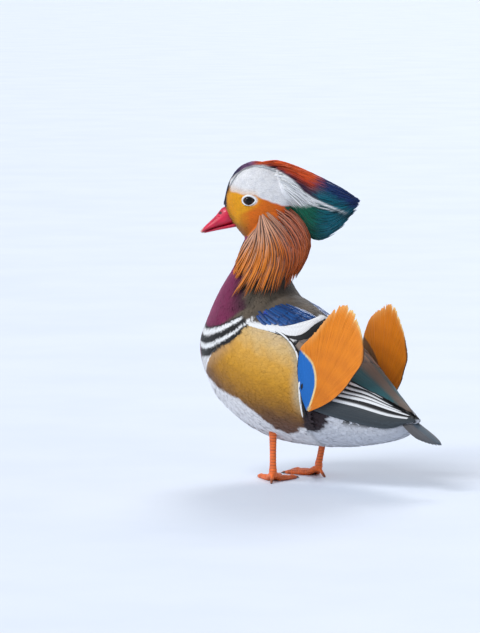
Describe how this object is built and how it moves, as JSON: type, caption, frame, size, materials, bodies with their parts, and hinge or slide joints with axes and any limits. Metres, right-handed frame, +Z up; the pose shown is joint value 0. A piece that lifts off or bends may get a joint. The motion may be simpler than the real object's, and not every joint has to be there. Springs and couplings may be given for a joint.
{
  "type": "mandarin duck",
  "caption": "Life-size standing mandarin duck drake with crest, orange ruff, raised sail feathers and its head turned to the left.",
  "frame": {"origin": "centre of the bounding box at floor level", "axes": "+Z up, the duck faces -Y and its left side is +X"},
  "size_m": [0.1208, 0.2538, 0.2771],
  "materials": {
    "torso_plumage": "soft overlapping feathers",
    "neck_plumage": "soft overlapping feathers",
    "head_plumage": "soft overlapping feathers",
    "crest_plumage": "soft overlapping feathers",
    "ruff_plumage": "soft overlapping feathers",
    "flank_plumage": "soft overlapping feathers",
    "scapular_plumage": "soft overlapping feathers",
    "wing_plumage": "soft overlapping feathers",
    "sail_plumage": "soft overlapping feathers",
    "tail_plumage": "soft overlapping feathers",
    "bill_horn": "glossy horn with a pale nail",
    "eye": "wet and dark",
    "leg_skin": "scaly skin",
    "foot_skin": "scaly skin with darker webs"
  },
  "bodies": {
    "root": {"torso": "torso_plumage", "neck": "neck_plumage", "head": "head_plumage", "crest": "crest_plumage", "ruff_left": "ruff_plumage", "ruff_right": "ruff_plumage", "flank_left": "flank_plumage", "flank_right": "flank_plumage", "scapulars_left": "scapular_plumage", "scapulars_right": "scapular_plumage", "wing_left": "wing_plumage", "wing_right": "wing_plumage", "sail_left": "sail_plumage", "sail_right": "sail_plumage", "tail": "tail_plumage", "bill_upper": "bill_horn", "bill_lower": "bill_horn", "eye_left": "eye", "eye_right": "eye", "leg_left": "leg_skin", "leg_right": "leg_skin", "foot_left": "foot_skin", "foot_right": "foot_skin"}
  },
  "joints": []
}
